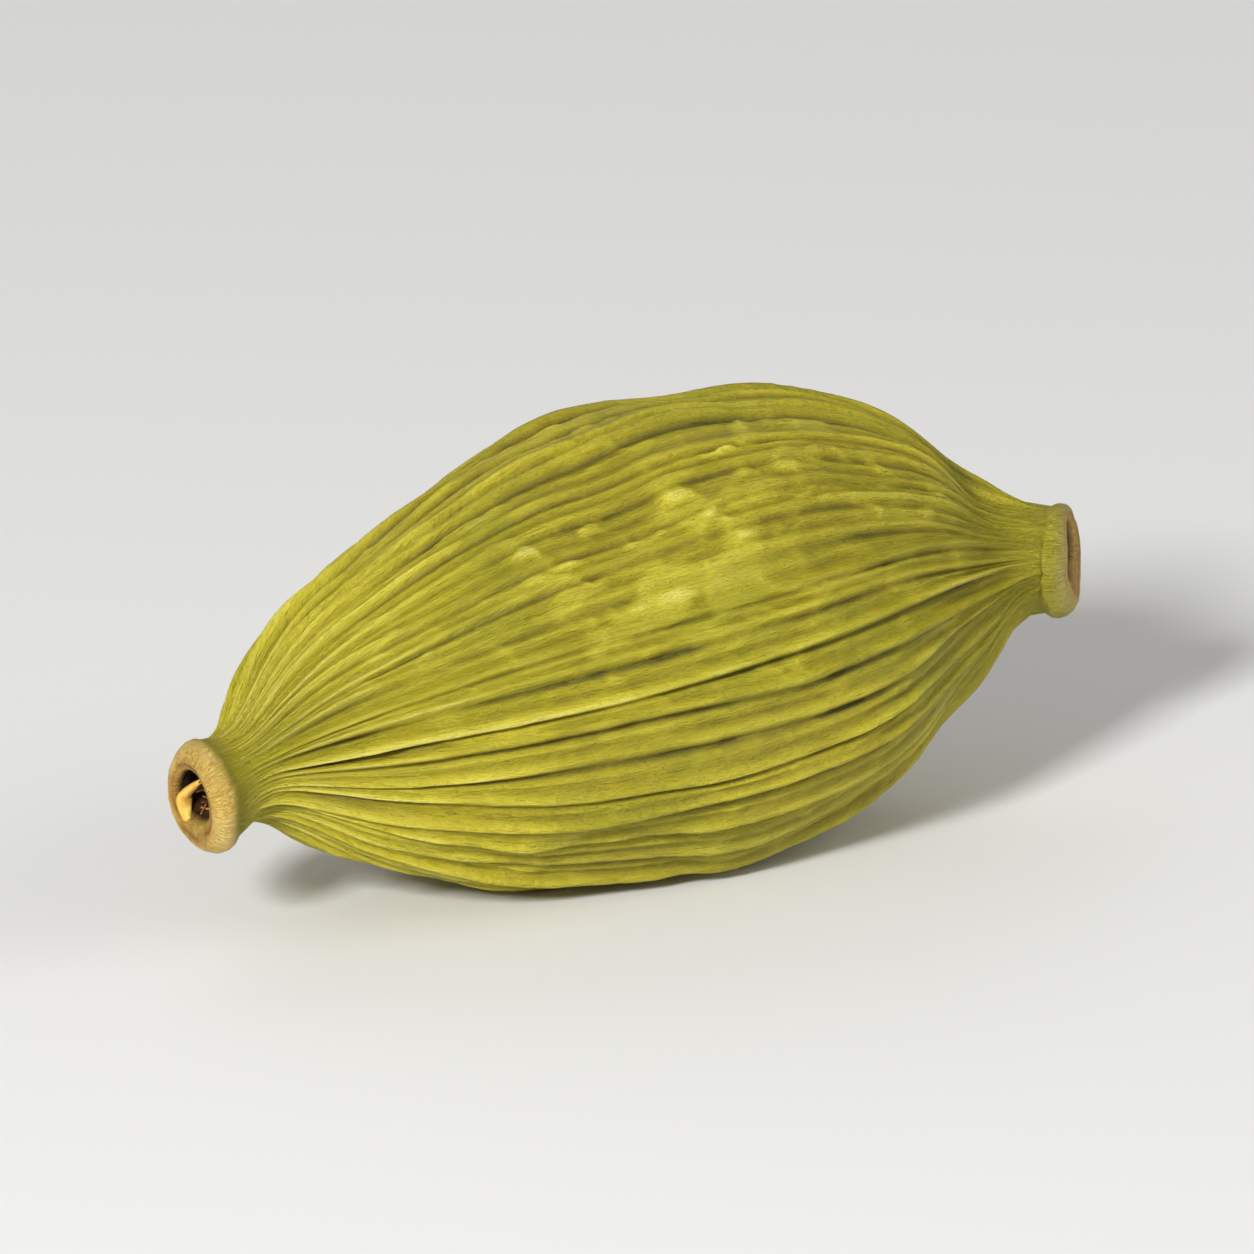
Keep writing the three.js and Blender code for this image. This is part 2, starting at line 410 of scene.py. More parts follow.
def husk_radius(share, place):
    """How far the skin is from the spine, and how far the ribs lift it there.

    The outline's radius, swollen at the three corners by a cosine of three waves a turn, plus
    a hump for each swell, dent and rib, less a hump for each seam.
    """
    body = body_of_husk(share)
    past_corner = (place - SEAM_RIBS[0] - SEAM_PLACE) / RIB_COUNT
    corner = CORNER_SHARE * body * np.cos(len(SEAM_RIBS) * FULL_TURN * past_corner)
    radius = POD_RADIUS * husk_radius_share(share) * (1 + corner)
    degrees = place * 360 / RIB_COUNT
    for along, around, reach_along, reach_around, height in SWELLS:
        lift = height * hump((share - along) / reach_along)
        radius = radius + lift * hump(way_round(degrees, around, 360) / reach_around)

    places = rib_places(share)
    rises = smoothstep(share, rib_start, rib_start + RIB_RISE)
    falls = 1 - smoothstep(share, rib_finish - RIB_FALL, rib_finish)
    heights = rib_height * rises * falls
    ribs = np.zeros_like(place)
    for i in range(RIB_COUNT):
        off = way_round(place, places[:, i : i + 1], RIB_COUNT)
        ribs += heights[:, i : i + 1] * hump(off / RIB_REACH)
    seams = columns_between(places, SEAM_PLACE)
    for i in SEAM_RIBS:
        off = way_round(place, seams[:, i : i + 1], RIB_COUNT)
        radius = radius - SEAM_DEPTH * body * hump(off / SEAM_REACH)
    return radius + ribs, ribs


def blistered_part(share, place):
    """How blistered the husk is at each point, from 0 to 1: a hump round each blistered place."""
    degrees = place * 360 / RIB_COUNT
    total = np.zeros_like(place)
    for along, around, reach_along, reach_around in BLISTERED:
        near = hump((share - along) / reach_along)
        total += near * hump(way_round(degrees, around, 360) / reach_around)
    return np.clip(total, 0, 1)


def lines_of_ribs(share, part, gap, ribs, plain):
    """How far noise along each rib changes its lift, and the lines that run with the ribs, as
    their height and their tone.

    Each line is a hump across the gap, stronger and weaker along the pod by noise: a crest on
    the rib, fainter on the tall ones and paler partly by a painted highlight, a groove on either
    side of it, deeper on the side of the next rib, where its darker tone is partly painted shade
    beneath the rib, and shallower towards the flower end, and a fibre in the middle of the gap.
    The main rib has a ridge of its own. In the necks each gap sinks into a fold, as deep as drawn.
    """
    along = share * POD_LENGTH
    rib = np.round(gap + part) % RIB_COUNT
    own_rib = rib / RIB_COUNT
    own_side = (gap + np.where(part < 0.5, 0, 0.5)) / RIB_COUNT
    own_gap = gap / RIB_COUNT
    from_rib = np.minimum(part, 1 - part)
    from_middle = from_rib - 0.5

    rib_change = ribs * (plain * (1 + 0.4 * soft_noise(along, own_rib, *RIB_NOISE)) - 1)

    crest = (0.75 + 0.5 * soft_noise(along, own_rib, *CREST_NOISE)) * plain
    crest = crest * np.where(rib % TALL_RIB_EVERY == 0, 0.6, 1) * hump(from_rib / CREST_REACH)

    # The side after each rib gets the deeper groove, whose darker tone is painted shade beneath the
    # rib.
    shaded_side_weight = np.where(part < 0.5, 1.2, 0.35)
    groove = (0.75 + 0.6 * soft_noise(along, own_side, *GROOVE_NOISE)) * plain * shaded_side_weight
    groove = groove * hump((from_rib - GROOVE_PLACE) / GROOVE_REACH)
    groove = groove * (1 - 0.45 * smoothstep(share, 0.64, 0.86))

    fibre = smoothstep(soft_noise(along, own_gap, *FIBRE_NOISE), -0.4, 0.5)
    fibre = fibre * plain * hump(from_middle / FIBRE_REACH)

    main = np.where(rib == MAIN_RIB, 1.0, 0.0) * hump(from_rib / MAIN_RIB_REACH)

    in_necks = 1 - smoothstep(share, 0.1, 0.32) * (1 - smoothstep(share, 0.78, 0.9))
    fold = drawn(gap, 7) ** 2 + np.where(gap == MAIN_RIB, MAIN_FOLD, 0)
    fold = fold * in_necks * hump(from_middle / FOLD_REACH)
    fold = fold * smoothstep(share, 0.05, 0.1) * (1 - smoothstep(share, 0.74, 0.92))

    height = CREST_HEIGHT * crest - GROOVE_DEPTH * groove + FIBRE_HEIGHT * fibre
    height = height + MAIN_RIB_HEIGHT * main - FOLD_DEPTH * fold
    # The crests' paleness is partly a painted highlight, the grooves' darkness partly painted
    # shade.
    tone = CREST_TONE_AND_HIGHLIGHT * crest + GROOVE_TONE_AND_SHADE * groove + FIBRE_TONE * fibre
    tone = tone + MAIN_RIB_TONE * main + FOLD_TONE * fold
    return rib_change, height, tone


def bumps_between_ribs(share, part, gap, blistered):
    """The low swell, the blisters, the pimples and the puckers, as their height and their tone.

    The swell is a hump along the middle of each gap. Blisters and pimples are the high parts of
    two sizes of noise, whose places are bent by more noise, so that they aren't square. They
    are lower on the ribs and where the husk isn't blistered. Puckers are noise as it is.
    """
    along = share * POD_LENGTH
    turns = (gap + part) / RIB_COUNT
    from_rib = np.minimum(part, 1 - part)
    bumpy = 0.25 + 0.75 * blistered
    off_the_ribs = 1 - 0.8 * hump(from_rib / 0.2)
    bent_along = along + 0.3 * soft_noise(along, turns, *BEND_ALONG_NOISE)
    bent_turns = turns + 0.011 * soft_noise(along, turns, *BEND_ROUND_NOISE)

    valley = hump((from_rib - 0.5) / VALLEY_REACH)
    blister = smoothstep(soft_noise(bent_along, bent_turns, *BLISTER_NOISE), 0.12, 0.75)
    blister = blister * bumpy * (0.35 + 0.65 * off_the_ribs)
    pimple = smoothstep(soft_noise(bent_along, bent_turns, *PIMPLE_NOISE), 0.3, 0.9)
    pimple = pimple * bumpy * off_the_ribs
    pucker = soft_noise(along, turns, *PUCKER_NOISE)

    height = BLISTER_HEIGHT * blister + PIMPLE_HEIGHT * pimple + PUCKER_HEIGHT * pucker
    height = height + VALLEY_HEIGHT * valley
    tone = BLISTER_TONE * blister + PIMPLE_TONE * pimple + VALLEY_TONE * valley
    return height, tone


def fine_relief(share, part, gap, ribs, blistered):
    """The relief too fine for the solid, and its tone, from 0 in a groove to 1 on a crest.

    part is how far a column lies from its rib towards the next, gap is the rib's number and
    ribs is how far the ribs lift the skin. The lines of the ribs and short crinkles across them
    fade out at both rings, and the bumps keep to the body. Where the husk is blistered the
    lines are fainter, but the main rib's aren't. The skin is paler in the necks, and next to
    both rings painted light lifts it further: fully behind the stalk ring, where the neck
    lies in shade, and partly by the flower ring, whose paleness is also its own.
    """
    rib = np.round(gap + part) % RIB_COUNT
    plain = 1 - 0.5 * blistered * np.where(rib == MAIN_RIB, 0.0, 1.0)
    rib_change, lines, line_tone = lines_of_ribs(share, part, gap, ribs, plain)
    bumps, bump_tone = bumps_between_ribs(share, part, gap, blistered)
    turns = (gap + part) / RIB_COUNT
    crinkle = CRINKLE_HEIGHT * soft_noise(share * POD_LENGTH, turns, *CRINKLE_NOISE)

    strength = 0.3 + 0.7 * smoothstep(share, 0.06, 0.11) * (1 - smoothstep(share, 0.88, 0.93))
    strength = strength * smoothstep(share, 0.044, 0.055) * (1 - smoothstep(share, 0.94, 0.954))
    body = body_of_husk(share)
    lift = rib_change + strength * (lines + crinkle) + body * bumps

    paler = 0.26 * (1 - smoothstep(share, 0.12, 0.4)) + 0.12 * smoothstep(share, 0.7, 0.9)
    # Painted light: the concave neck just behind the stalk ring is lifted out of its shade.
    paler = paler + 0.14 * (1 - smoothstep(share, 0.06, 0.13))
    # By the flower ring the skin goes over to the ring's paler skin, partly painted light.
    paler = paler + 0.16 * smoothstep(share, 0.88, 0.95)
    tone = PLAIN_TONE + (0.3 + 0.7 * strength) * (line_tone + body * bump_tone)
    return lift, np.clip(tone + paler, 0, 1)


def place_points(share, angle, radius, inset=0.0):
    """Points round the spine, for a column of shares and a grid of angles and radii.

    The section at each share is square to the spine, with angle 0 towards +Y and a quarter
    turn towards +Z. inset moves a point along the spine's direction there.
    """
    step = 1e-3
    share = np.asarray(share, dtype=float).reshape(-1, 1)
    centre = np.stack([(share - 0.5) * POD_LENGTH, spine_y(share), spine_z(share)], axis=-1)
    rise_y = spine_y(share + step) - spine_y(share - step)
    rise_z = spine_z(share + step) - spine_z(share - step)
    along = np.stack([np.full_like(share, 2 * step * POD_LENGTH), rise_y, rise_z], axis=-1)
    along /= np.linalg.norm(along, axis=-1, keepdims=True)
    up = np.array([0.0, 0.0, 1.0]) - along * along[..., 2:]
    up /= np.linalg.norm(up, axis=-1, keepdims=True)
    side = np.cross(up, along)
    across = side * (radius * np.cos(angle))[..., None] + up * (radius * np.sin(angle))[..., None]
    return centre + across + along * np.asarray(inset)[..., None]


def ring_shape(end, angle):
    """How far out of round one end's ring is: 1, plus two waves a turn and three waves a turn."""
    seed = end["seed"]
    return 1 + 0.05 * np.cos(2 * angle + seed) + 0.035 * np.cos(3 * angle + 2.3 * seed)


def end_points(end, angle, radius, inset):
    """Points of one end. It is as far out of round as its ring, and leans, so that a point
    lies further in by its radius times the lean its way."""
    lean = end["lean_y"] * np.cos(angle) + end["lean_z"] * np.sin(angle)
    insets = end["inwards"] * (inset + radius * lean)
    return place_points(end["share"], angle, radius * ring_shape(end, angle), insets)


def ring_and_hollow(end, angle):
    """One end's rows from the hollow's floor, up its wall and over the lip to the neck, with
    how woody, how deep in the hollow and how pale each point is, and the floor's middle.

    The wall climbs to the lip, which is an arc of LIP_SWEEP. The lip grows thicker towards one
    side by a cosine, a wandering crease, which is a hump across the arc, parts it into two
    rolls, and noise makes it lumpy and frays its edge with the ends of fibres. Painted shade
    darkens the crease, a painted highlight makes the outer roll paler, and depth in the hollow
    brings a darker brown, partly the wood's own and partly painted shade.
    """
    turns = angle / FULL_TURN
    first_seed = int(10 * end["seed"])

    def noise(along, cell, cells_round, seed):
        return soft_noise(along + 0 * turns, turns, cell, cells_round, first_seed + seed)

    thick = 1 + end["uneven_by"] * np.cos(angle - end["thick_at"])
    thick = thick + LIP_UNEVENNESS * noise(0, 1, 11, 40)
    lip = end["lip_radius"] * thick
    lip_centre = end["ring_radius"] - end["lip_radius"]
    hollow_radius = end["ring_radius"] - 2 * lip
    rows = []
    for depth, share_of_radius in WALL:
        rough = WALL_ROUGHNESS * noise(3 * depth, 0.5, 23, 50)
        inset = end["hollow_depth"] * (depth + rough)
        # The deeper down the wall, the more it goes to dark brown: partly the wood's own colour,
        # partly painted shade.
        deep = smoothstep(depth, 0.2, 0.6)
        rows.append((hollow_radius * share_of_radius, inset, 1, deep, WALL_TONE))
    for step in range(LIP_STEPS):
        turn = LIP_SWEEP * step / (LIP_STEPS - 1)
        along = lip * (1 - math.sin(turn))
        lumps = LIP_LUMPS * noise(1.2 * turn, 1.6, 9, 60)
        frays = FRAY_LENGTH * noise(0.8 * turn, 0.6, 61, 70)
        wander = CREASE_WANDER * noise(0, 1, 5, 80)
        crease = hump((turn - CREASE_TURN - wander) / CREASE_REACH)
        out = lip * (1 + 0.6 * lumps - CREASE_DEPTH * crease) + frays
        radius = lip_centre - out * math.cos(turn)
        drawn_in = crease * CREASE_DRAW * lip
        inset = along + drawn_in - frays * math.sin(turn) + lumps * end["lip_radius"]
        woody = 1 - smoothstep(turn, end["woody_until"], end["skin_from"])
        # Painted shade darkens the crease, and a painted highlight makes the outer roll paler.
        pale = PLAIN_TONE + CREASE_PAINTED_SHADE * crease + 0.08 * smoothstep(turn, 1.6, 2.4)
        pale = pale + (end["skin_tone"] - PLAIN_TONE) * (1 - woody)
        # The inner edge of the lip darkens towards the hollow, partly painted shade.
        deep = 1 - smoothstep(turn, 0, 0.9)
        rows.append((radius, inset, woody, deep, pale))
    radius, inset, woody, hollow, tone = (
        np.stack([row[k] + 0 * angle for row in rows]) for k in range(5)
    )
    points = end_points(end, angle[None, :], radius, inset)
    nothing = np.zeros((1, 1))
    floor_point = end_points(end, nothing, nothing, nothing + end["hollow_depth"])
    return points, woody, hollow, tone, floor_point[0, 0]


def lay_down(points, shift):
    """Tips the pod to its resting tilt, moves it by shift, and presses its belly flat: a
    height h becomes half of h plus the root of h squared plus a small square."""
    cos = math.cos(REST_TILT)
    sin = math.sin(REST_TILT)
    x, y, z = np.moveaxis(points, -1, 0)
    tipped = np.stack([x * cos - z * sin, y, x * sin + z * cos], axis=-1) + shift
    height = tipped[..., 2]
    rounding = 0.02
    tipped[..., 2] = 0.5 * (height + np.sqrt(height**2 + rounding**2))
    return tipped


def mesh_piece(name, points, faces, attributes=None):
    """A smooth-shaded mesh object at the origin, from points in millimetres, faces as lists of
    point numbers, and arrays of values at the points."""
    mesh = bpy.data.meshes.new(name)
    mesh.from_pydata((points * MM).tolist(), [], faces)
    for key, values in (attributes or {}).items():
        kind = "FLOAT_VECTOR" if values.ndim == 2 else "FLOAT"
        field = "vector" if values.ndim == 2 else "value"
        mesh.attributes.new(key, kind, "POINT").data.foreach_set(field, values.ravel())
    mesh.polygons.foreach_set("use_smooth", [True] * len(mesh.polygons))
    mesh.update()
    piece = bpy.data.objects.new(name, mesh)
    bpy.context.collection.objects.link(piece)
    return piece


def grid_faces(rows, columns, first=0):
    """Quads between neighbouring rows of a grid that closes on itself from column to column."""
    r = np.arange(rows - 1)[:, None] * columns
    c = np.arange(columns)[None, :]
    after = (c + 1) % columns
    quads = np.stack([r + c, r + after, r + columns + after, r + columns + c], axis=-1)
    return (quads.reshape(-1, 4) + first).tolist()


def make_husk():
    """The whole skin, as one closed grid of rows from the floor of the stalk end's hollow to
    the floor of the flower end's, with the columns following the ribs.

    The rows stand closer together in the necks, by a sine of one wave. There the skin's radius
    also goes over, by a smooth step, to being as far out of round as the ring.
    """
    even = np.linspace(0, 1, HUSK_ROWS)[:, None]
    first = OUTLINE[0][0]
    last = OUTLINE[-1][0]
    share = first + (last - first) * (even - ROW_CROWDING * np.sin(FULL_TURN * even))
    places = rib_places(share)
    parts = np.arange(COLUMNS_PER_RIB) / COLUMNS_PER_RIB
    place = np.stack([columns_between(places, part) for part in parts], axis=-1)
    place = place.reshape(HUSK_ROWS, -1)
    part = np.tile(parts, RIB_COUNT)[None, :] + 0 * share
    gap = np.repeat(rib_index, COLUMNS_PER_RIB)[None, :] + 0 * share
    angle = place * FULL_TURN / RIB_COUNT
    radius, ribs = husk_radius(share, place)
    lift, tone = fine_relief(share, part, gap, ribs, blistered_part(share, place))

    plain = place_points(share, angle, radius)
    stalk, stalk_woody, stalk_hollow, stalk_tone, stalk_floor = ring_and_hollow(
        STALK_END, angle[0]
    )
    flower, flower_woody, flower_hollow, flower_tone, flower_floor = ring_and_hollow(
        FLOWER_END, angle[-1]
    )
    shift = lay_down_shift(np.concatenate([stalk, plain, flower]))
    at_stalk = 1 - smoothstep(share, first, first + RING_BLEND)
    at_flower = smoothstep(share, last - RING_BLEND, last)
    shape = 1 + at_stalk * (ring_shape(STALK_END, angle) - 1)
    shape = shape + at_flower * (ring_shape(FLOWER_END, angle) - 1)
    skin = place_points(share, angle, (radius + lift) * shape)

    grid = np.concatenate([stalk, skin, flower[::-1]])
    rows, columns = grid.shape[:2]
    points = np.concatenate([grid.reshape(-1, 3), [stalk_floor, flower_floor]])
    points = lay_down(points, shift)

    attributes = {
        "tone": np.append(np.concatenate([stalk_tone, tone, flower_tone[::-1]]), [0, 0]),
        "woody": np.append(np.concatenate([stalk_woody, 0 * angle, flower_woody[::-1]]), [1, 1]),
        "hollow": np.append(
            np.concatenate([stalk_hollow, 0 * angle, flower_hollow[::-1]]), [1, 1]
        ),
        "grain": grain_of_skin(share, angle, stalk_woody.shape[0], flower_woody.shape[0]),
    }

    faces = grid_faces(rows, columns)
    around = np.arange(columns)
    after = (around + 1) % columns
    floor_at = rows * columns
    last_row = (rows - 1) * columns
    faces += np.stack([np.full(columns, floor_at), after, around], axis=-1).tolist()
    faces += np.stack(
        [last_row + around, last_row + after, np.full(columns, floor_at + 1)], axis=-1
    ).tolist()
    return mesh_piece("husk", points, faces, attributes), shift


def lay_down_shift(points):
    """The move that brings the middle of the tipped pod over the origin and its lowest point
    FLAT_DEPTH below the surface."""
    cos = math.cos(REST_TILT)
    sin = math.sin(REST_TILT)
    x, y, z = np.moveaxis(points, -1, 0)
    tipped = np.stack([x * cos - z * sin, y, x * sin + z * cos], axis=-1).reshape(-1, 3)
    low = tipped.min(axis=0)
    high = tipped.max(axis=0)
    middle = -(low + high) / 2
    return np.array([middle[0], middle[1], -low[2] - FLAT_DEPTH])


def grain_of_skin(share, angle, stalk_rows, flower_rows):
    """Where each point lies on a cylinder as long as the pod and of its radius, unrolled the
    way the fibres run: the length along it, then the cosine and sine of the angle."""
    end_step = 0.08
    before = -end_step * np.arange(stalk_rows, 0, -1)[:, None]
    after = POD_LENGTH + end_step * np.arange(1, flower_rows + 1)[:, None]
    along = np.concatenate([before, share * POD_LENGTH, after])
    angles = np.concatenate(
        [
            np.repeat(angle[:1], stalk_rows, axis=0),
            angle,
            np.repeat(angle[-1:], flower_rows, axis=0),
        ]
    )
    grain = np.stack(
        [along + 0 * angles, POD_RADIUS * np.cos(angles), POD_RADIUS * np.sin(angles)], axis=-1
    )
    floors = np.array([[-2.0, 0, 0], [POD_LENGTH + 2.0, 0, 0]])
    return np.concatenate([grain.reshape(-1, 3), floors])


def sweep_strands(paths, radii, sides, flatten=1.0):
    """Round strands along many paths at once, closed to a point at both ends.

    paths is (strands, steps, 3) and radii (strands, steps). Every ring of points stands square
    to its path: two directions across it are the path's direction crossed with a fixed one,
    and crossed again. The second is narrowed by flatten.
    """
    count, steps = radii.shape
    ahead = np.gradient(paths, axis=1)
    ahead /= np.linalg.norm(ahead, axis=-1, keepdims=True)
    across = np.cross(ahead, np.array([0.13, 0.24, 0.96]))
    across /= np.linalg.norm(across, axis=-1, keepdims=True)
    over = np.cross(ahead, across) * flatten
    turn = FULL_TURN * np.arange(sides) / sides
    ring = (
        across[:, :, None, :] * np.cos(turn)[None, None, :, None]
        + over[:, :, None, :] * np.sin(turn)[None, None, :, None]
    )
    walls = paths[:, :, None, :] + ring * radii[:, :, None, None]
    points = []
    faces = []
    for i in range(count):
        first = i * (steps * sides + 2)
        root = first + steps * sides
        tip = root + 1
        points += [walls[i].reshape(-1, 3), paths[i, :1], paths[i, -1:]]
        faces += grid_faces(steps, sides, first)
        last_ring = first + (steps - 1) * sides
        faces += [[root, first + (k + 1) % sides, first + k] for k in range(sides)]
        faces += [[tip, last_ring + k, last_ring + (k + 1) % sides] for k in range(sides)]
    return np.concatenate(points), faces


def make_torn_strands(name, end, count, seed, shift):
    """The torn ends of the strands that ran through one end's hollow: short tapering fibres
    that stand on its floor. Each rises evenly, and its angle and its distance from the middle
    change with the square of the way up, by an amount drawn for it."""
    draw = np.random.default_rng(seed)
    steps = 9
    t = np.linspace(0, 1, steps)[None, :]
    hollow_radius = end["ring_radius"] - 2 * end["lip_radius"]
    root = hollow_radius * 0.92 * np.sqrt(draw.uniform(0.02, 1, (count, 1)))
    at = draw.uniform(0, FULL_TURN, (count, 1))
    height = end["hollow_depth"] * draw.uniform(0.25, 0.8, (count, 1))
    twist = draw.uniform(-1.1, 1.1, (count, 1))
    gather = draw.uniform(-0.35, 0.25, (count, 1))
    radius = root * (1 + gather * t**2)
    radius = np.minimum(radius, 0.97 * hollow_radius)
    angle = at + twist * t**2
    inset = end["hollow_depth"] * 1.03 - height * t
    paths = end_points(end, angle.reshape(1, -1), radius.reshape(1, -1), inset.reshape(1, -1))
    paths = lay_down(paths.reshape(count, steps, 3), shift)
    thick = draw.uniform(0.022, 0.05, (count, 1))
    radii = thick * (1 - 0.75 * t**1.5) * (1 + 0.15 * np.sin(9 * t + at))
    points, faces = sweep_strands(paths, radii, 6)
    return mesh_piece(name, points, faces)


def make_curled_stub(shift):
    """The woody stub that the stalk left: a rounded tongue that rises from the lower lip on
    the +Y side, crosses the hollow and rolls in at its tip. Its distance from the ring's middle
    falls by a straight line, its angle grows by a power, and it tapers towards the tip."""
    steps = 40
    thickness = 0.125
    flatten = 0.7
    t = np.linspace(0, 1, steps)
    angle = np.radians(296 + 98 * t**1.4)[None, :]
    radius = (0.68 - 0.5 * t)[None, :]
    inset = 0.17 - 0.05 * np.sin(math.pi * t) + 0.25 * smoothstep(t, 0.65, 1)
    inset = (inset + 0.2 * (1 - smoothstep(t, 0, 0.3)))[None, :]
    path = end_points(STALK_END, angle, radius, inset)
    path = lay_down(path, shift)
    taper = smoothstep(t, -0.25, 0.1) * (1 - 0.5 * smoothstep(t, 0.5, 1))
    radii = (thickness * taper * (1 + 0.1 * np.sin(11 * t)))[None, :]
    points, faces = sweep_strands(path, radii, 20, flatten)
    return mesh_piece("stalk_stub", points, faces)


def srgb(red, green, blue):
    """A colour given as 0 to 255 on screen, as the linear light a shader takes."""
    screen = np.array([red, green, blue]) / 255
    linear = np.where(screen <= 0.04045, screen / 12.92, ((screen + 0.055) / 1.055) ** 2.4)
    return (*linear.tolist(), 1)


class Finish:
    """A material's node tree, and short ways to add to it."""

    def __init__(self, name):
        self.material = bpy.data.materials.new(name)
        self.material.use_nodes = True
        self.tree = self.material.node_tree
        self.shader = self.tree.nodes["Principled BSDF"]

    def add(self, kind, inputs=None, **settings):
        """A new node, with its settings made and its inputs fed."""
        node = self.tree.nodes.new(kind)
        for key, value in settings.items():
            setattr(node, key, value)
        for key, value in (inputs or {}).items():
            self.feed(node.inputs[key], value)
        return node

    def feed(self, socket, value):
        """Links a socket to another one, or gives it a plain value."""
        if isinstance(value, bpy.types.NodeSocket):
            self.tree.links.new(value, socket)
        else:
            socket.default_value = value

    def attribute(self, name, output="Fac"):
        """One of the mesh's own arrays."""
        return self.add("ShaderNodeAttribute", attribute_name=name).outputs[output]

    def stretched(self, vector, scale, offset=(0, 0, 0)):
        """A place times a scale, plus an offset."""
        node = self.add("ShaderNodeMapping", {"Vector": vector, "Scale": scale, "Location": offset})
        return node.outputs["Vector"]

    def noise(self, vector, detail, roughness):
        """Noise with cells one unit wide."""
        inputs = {"Vector": vector, "Scale": 1.0, "Detail": detail, "Roughness": roughness}
        return self.add("ShaderNodeTexNoise", inputs).outputs["Fac"]

    def ramp(self, factor, *stops):
        """A colour that goes from stop to stop as the factor grows."""
        node = self.add("ShaderNodeValToRGB", {"Fac": factor})
        elements = node.color_ramp.elements
        while len(elements) < len(stops):
            elements.new(0.5)
        for element, (position, colour) in zip(elements, stops):
            element.position = position
            element.color = colour
        return node.outputs["Color"]

    def mask(self, factor, low, high):
        """0 where the factor is below low, 1 where it is above high, and smooth between."""
        inputs = {"Value": factor, "From Min": low, "From Max": high}
        node = self.add("ShaderNodeMapRange", inputs, interpolation_type="SMOOTHSTEP")
        return node.outputs["Result"]

    def blend(self, factor, a, b):
        """The colour that lies the factor's share of the way from a to b."""
        node = self.add("ShaderNodeMix", data_type="RGBA")
        self.feed(node.inputs[0], factor)
        self.feed(node.inputs[6], a)
        self.feed(node.inputs[7], b)
        return node.outputs[2]

    def maths(self, operation, a, b, c=0.5):
        """One sum on two or three numbers: MULTIPLY_ADD is a times b, plus c."""
        node = self.add("ShaderNodeMath", operation=operation)
        for socket, value in zip(node.inputs, (a, b, c)):
            self.feed(socket, value)
        return node.outputs["Value"]

    def bump(self, height, distance, strength, normal=None):
        """The way the surface faces when the height is raised on it."""
        inputs = {"Height": height, "Distance": distance, "Strength": strength}
        if normal is not None:
            inputs["Normal"] = normal
        return self.add("ShaderNodeBump", inputs).outputs["Normal"]


def husk_finish():
    """The skin: olive in the grooves, yellow-green between, straw on the crests, with streaks
    and threads along the fibres, greener and paler patches, golden rings and dark hollows. The
    grooves' darkness and the hollows' are partly painted shade, and the crests' paleness is
    partly a painted highlight."""
    finish = Finish("husk_skin")
    tone = finish.attribute("tone")
    woody = finish.attribute("woody")
    hollow = finish.attribute("hollow")
    grain = finish.attribute("grain", "Vector")

    streaks = finish.noise(finish.stretched(grain, (0.5, 6.0, 6.0)), 6.0, 0.65)
    threads = finish.noise(finish.stretched(grain, (1.8, 13.0, 13.0)), 6.0, 0.7)
    pebbles = finish.noise(finish.stretched(grain, (6.0, 10.0, 10.0), (4, 8, 1)), 4.0, 0.6)
    patches = finish.noise(finish.stretched(grain, (0.35, 0.5, 0.5)), 4.0, 0.55)
    blotches = finish.noise(finish.stretched(grain, (1.6, 2.6, 2.6), (7, 3, 5)), 5.0, 0.6)
    flecks = finish.noise(finish.stretched(grain, (3.0, 8.0, 8.0), (2, 9, 4)), 3.0, 0.5)

    shade = finish.maths("MULTIPLY_ADD", streaks, 0.25, finish.maths("SUBTRACT", tone, 0.125))
    shade = finish.maths("MULTIPLY_ADD", threads, 0.35, finish.maths("SUBTRACT", shade, 0.175))
    olive = srgb(86, 76, 2)
    moss = srgb(140, 127, 8)
    yellow_green = srgb(174, 161, 18)
    straw = srgb(214, 201, 54)
    pale_straw = srgb(234, 222, 98)
    skin = finish.ramp(
        shade, (0.05, olive), (0.3, moss), (0.5, yellow_green), (0.85, straw), (1, pale_straw)
    )
    leaf_green = srgb(132, 136, 10)
    dull_straw = srgb(208, 192, 64)
    brown_fleck = srgb(128, 104, 10)
    greener = finish.mask(patches, 0.46, 0.66)
    skin = finish.blend(finish.maths("MULTIPLY", greener, 0.3), skin, leaf_green)
    paler = finish.mask(blotches, 0.54, 0.72)
    skin = finish.blend(finish.maths("MULTIPLY", paler, 0.22), skin, dull_straw)
    flecked = finish.mask(flecks, 0.66, 0.74)
    skin = finish.blend(finish.maths("MULTIPLY", flecked, 0.35), skin, brown_fleck)

    place = finish.add("ShaderNodeTexCoord").outputs["Object"]
    figure = finish.noise(finish.stretched(place, (1400, 2600, 2600)), 5.0, 0.6)
    figure = finish.maths("MULTIPLY_ADD", figure, 0.7, finish.maths("SUBTRACT", tone, 0.27))
    russet = srgb(150, 88, 22)
    tan = srgb(228, 176, 70)
    gold = srgb(246, 204, 98)
    pale_gold = srgb(254, 228, 146)
    hollow_brown_and_shade = srgb(64, 28, 6)
    wood = finish.ramp(figure, (0.1, russet), (0.4, tan), (0.55, gold), (0.75, pale_gold))
    colour = finish.blend(woody, skin, wood)
    # Deep in the hollows the colour goes to dark brown: partly the wood's own, partly painted
    # shade.
    colour = finish.blend(hollow, colour, hollow_brown_and_shade)
    finish.feed(finish.shader.inputs["Base Color"], colour)

    rough = finish.maths("MULTIPLY_ADD", blotches, 0.25, 0.44)
    rough = finish.maths("MULTIPLY_ADD", tone, -0.3, rough)
    finish.feed(finish.shader.inputs["Roughness"], rough)
    grainy = finish.bump(pebbles, 0.00006, 0.8)
    fine = finish.bump(threads, 0.0001, 1.0, grainy)
    finish.feed(finish.shader.inputs["Normal"], finish.bump(streaks, 0.00008, 0.7, fine))
    finish.shader.inputs["Specular IOR Level"].default_value = 0.5
    return finish.material


